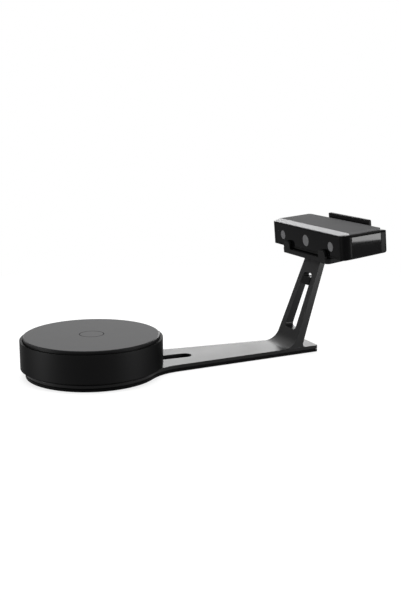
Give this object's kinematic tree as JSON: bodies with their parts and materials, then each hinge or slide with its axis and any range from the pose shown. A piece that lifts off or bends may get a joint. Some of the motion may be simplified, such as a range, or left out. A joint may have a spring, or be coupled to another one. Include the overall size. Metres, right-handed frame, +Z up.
{
  "type": "desktop 3d scanner",
  "caption": "Desktop 3D scanner: a motor-driven turntable on a flat base strip, and a leaning slotted arm with a cradle that holds a wide box-shaped scanner head.",
  "frame": {"origin": "on the table plane, below the middle of the object's length and width", "axes": "+X from the turntable to the arm and head, +Z up, +Y to the left seen from the turntable towards the head"},
  "size_m": [0.5368, 0.22, 0.2076],
  "materials": {
    "stand_paint": "satin dark grey powder paint",
    "rubber": "matte black",
    "screw_steel": "plain steel",
    "black_plastic": "fine texture black",
    "housing_paint": "satin black paint",
    "white_plastic": "natural moulded",
    "bearing_steel": "ground and polished",
    "bronze": "machined",
    "motor_steel": "zinc plated sheet",
    "board": "green solder mask",
    "chips": "moulded black",
    "platter_black": "satin black edge",
    "platter_mat": "matte dark grey sheet",
    "ring_grey": "fine printed line",
    "front_gloss": "high gloss black",
    "head_grey": "satin grey paint",
    "trim_silver": "silver paint",
    "window_grey": "smoke grey filter",
    "aluminium": "clear anodised",
    "barrel_black": "black anodised",
    "lens_glass": "coated glass"
  },
  "bodies": {
    "stand": {"stand_frame": "stand_paint", "base_cover": "stand_paint", "base_feet": "rubber", "post_foot": "rubber", "base_screws": "screw_steel", "cable_clip": "black_plastic", "head_cradle": "stand_paint", "cradle_screws": "screw_steel", "cradle_pads": "rubber", "rear_bumpers": "rubber"},
    "turntable": {"turntable_floor": "black_plastic", "turntable_housing": "housing_paint", "turntable_feet": "rubber", "housing_screws": "screw_steel", "bearing_pedestal": "white_plastic", "pedestal_screws": "screw_steel", "bearing_lower_race": "bearing_steel", "spindle_bush": "bronze", "motor_body": "motor_steel", "motor_bracket": "motor_steel", "bracket_screws": "screw_steel", "turntable_board": "board", "turntable_board_parts": "chips", "turntable_port": "black_plastic"},
    "platter": {"platter": "platter_black", "platter_mat": "platter_mat", "centre_ring": "ring_grey", "bearing_upper_race": "bearing_steel", "spindle": "bearing_steel", "spindle_clip": "screw_steel", "platter_gear": "white_plastic", "platter_screws": "screw_steel"},
    "cage": {"bearing_cage": "white_plastic", "bearing_balls": "bearing_steel"},
    "rotor": {"motor_shaft": "bearing_steel", "motor_pinion": "bronze"},
    "head": {"front_panel": "black_plastic", "front_plate": "front_gloss", "lower_shell": "black_plastic", "top_cover": "head_grey", "top_trim": "trim_silver", "rear_cap": "black_plastic", "window_left": "window_grey", "window_middle": "window_grey", "window_right": "window_grey", "optics_rail": "aluminium", "camera_bodies": "chips", "camera_barrels": "barrel_black", "camera_lenses": "lens_glass", "camera_boards": "board", "projector_body": "aluminium", "projector_barrel": "barrel_black", "projector_lens": "lens_glass", "heat_sink": "aluminium", "main_board": "board", "main_board_parts": "chips", "usb_socket": "black_plastic", "power_socket": "black_plastic", "head_screws": "screw_steel"},
    "button": {"power_button": "black_plastic"}
  },
  "joints": [
    {"name": "turntable_lift", "type": "slide", "parent": "stand", "child": "turntable", "axis": [0, 0, 1], "range_m": [0, 0.02]},
    {"name": "platter_spin", "type": "hinge", "parent": "turntable", "child": "platter", "pos_m": [-0.16643, 0, 0.05], "axis": [0, 0, 1], "continuous": true},
    {"name": "cage_spin", "type": "hinge", "parent": "turntable", "child": "cage", "pos_m": [-0.16643, 0, 0.0476], "axis": [0, 0, 1], "continuous": true},
    {"name": "motor_spin", "type": "hinge", "parent": "turntable", "child": "rotor", "pos_m": [-0.23643, 0, 0.045], "axis": [0, 0, 1], "continuous": true},
    {"name": "head_lift", "type": "slide", "parent": "stand", "child": "head", "axis": [-0.0915, 0, 0.9958], "range_m": [0, 0.06]},
    {"name": "power_press", "type": "slide", "parent": "head", "child": "button", "axis": [-0.9958, 0, -0.0915], "range_m": [0, 0.001], "stiffness_N_per_m": 500}
  ],
  "couplings": [
    {"joint": "cage_spin", "follows": "platter_spin", "ratio": 0.5},
    {"joint": "motor_spin", "follows": "platter_spin", "ratio": -6}
  ]
}
